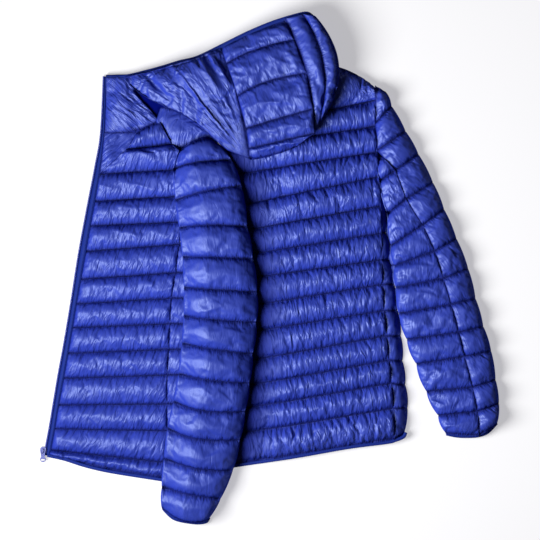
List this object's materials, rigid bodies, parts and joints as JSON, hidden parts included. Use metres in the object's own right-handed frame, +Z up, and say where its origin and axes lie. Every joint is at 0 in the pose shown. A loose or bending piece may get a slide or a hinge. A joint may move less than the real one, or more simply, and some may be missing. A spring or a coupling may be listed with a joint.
{
  "type": "puffer jacket",
  "caption": "Light hooded puffer jacket laid flat with its back up, one front opened out and a sleeve laid over it; the zip's pull tab swings.",
  "frame": {"origin": "on the surface the jacket lies on, under the middle of its outline", "axes": "+Y from the hem towards the hood, +X towards the garment's right sleeve as it lies, +Z up from the surface"},
  "size_m": [0.8221, 0.9126, 0.0616],
  "materials": {
    "shell_fabric": "glossy woven nylon shell, quilted over loose fill",
    "binding_tape": "knitted elastic binding, matt",
    "zip_tape": "woven zip tape, matt",
    "zip_plastic": "coil zip teeth, dyed",
    "slider_enamel": "zip slider and pull tab, enamelled"
  },
  "bodies": {
    "jacket": {"back": "shell_fabric", "front_left": "shell_fabric", "side_left": "shell_fabric", "yoke_left": "shell_fabric", "collar_left": "shell_fabric", "shoulder_left": "shell_fabric", "front_right": "shell_fabric", "side_right": "shell_fabric", "sleeve_left_under": "shell_fabric", "sleeve_left_top": "shell_fabric", "sleeve_right_under": "shell_fabric", "sleeve_right_outer": "shell_fabric", "sleeve_right_inner": "shell_fabric", "hood_under": "shell_fabric", "hood_left": "shell_fabric", "hood_centre": "shell_fabric", "hood_right": "shell_fabric", "hood_binding": "binding_tape", "hem_binding_left": "binding_tape", "hem_binding_back": "binding_tape", "cuff_binding_left": "binding_tape", "cuff_binding_right": "binding_tape", "zip_tape_left": "zip_tape", "zip_tape_right": "zip_tape", "zip_chain_left": "zip_plastic", "zip_slider": "slider_enamel"},
    "pull_tab": {"zip_pull": "slider_enamel"}
  },
  "joints": [
    {"name": "pull_tab_swing", "type": "hinge", "parent": "jacket", "child": "pull_tab", "pos_m": [-0.4055, -0.326, 0.00815], "axis": [-1, 0, 0], "range_deg": [0, 150]}
  ]
}
